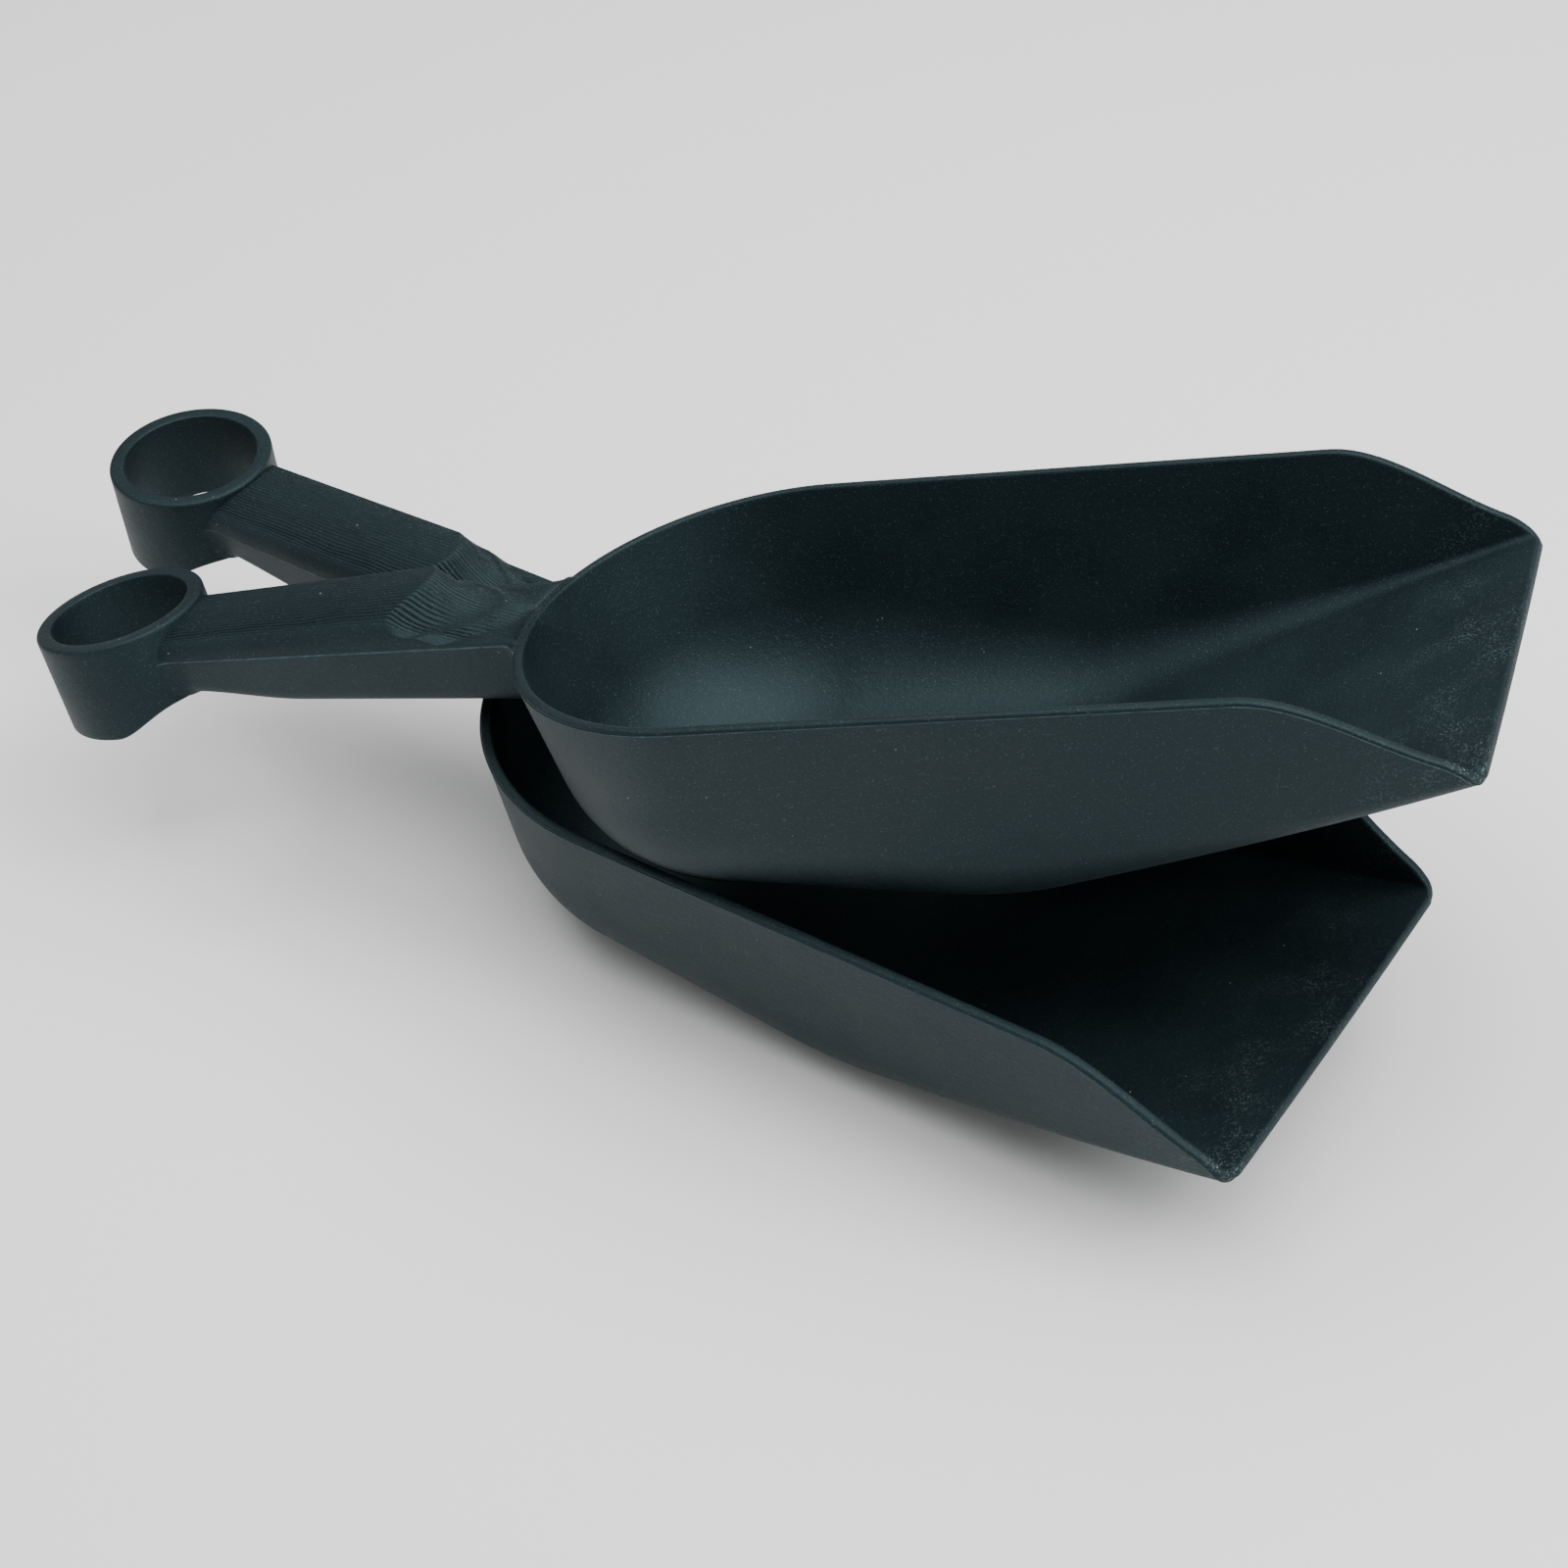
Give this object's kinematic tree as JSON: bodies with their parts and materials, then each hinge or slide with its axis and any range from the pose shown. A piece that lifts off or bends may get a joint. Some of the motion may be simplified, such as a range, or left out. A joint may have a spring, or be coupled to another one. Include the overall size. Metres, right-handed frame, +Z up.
{
  "type": "leaf grabber hands",
  "caption": "Pair of handheld plastic scoops for gathering leaves, each with a bowl and ramped lip, a grooved grip with a thumb rest, and an open end collar, one lying across the other.",
  "frame": {"origin": "on the ground under the middle of the pair's box", "axes": "+X from the lower scoop's collar to its lip, +Z up; the lower scoop's bowl floor lies flat on z = 0"},
  "size_m": [0.444, 0.198, 0.157],
  "materials": {
    "lower_scoop_plastic": "fine stippled matte, dark blue-green",
    "upper_scoop_plastic": "fine stippled matte, dark blue-green"
  },
  "bodies": {
    "lower": {"lower_scoop": "lower_scoop_plastic"},
    "upper": {"upper_scoop": "upper_scoop_plastic"}
  },
  "joints": [
    {"name": "lift_off", "type": "slide", "parent": "lower", "child": "upper", "axis": [0, 0, 1], "range_m": [0, 0.12]}
  ]
}
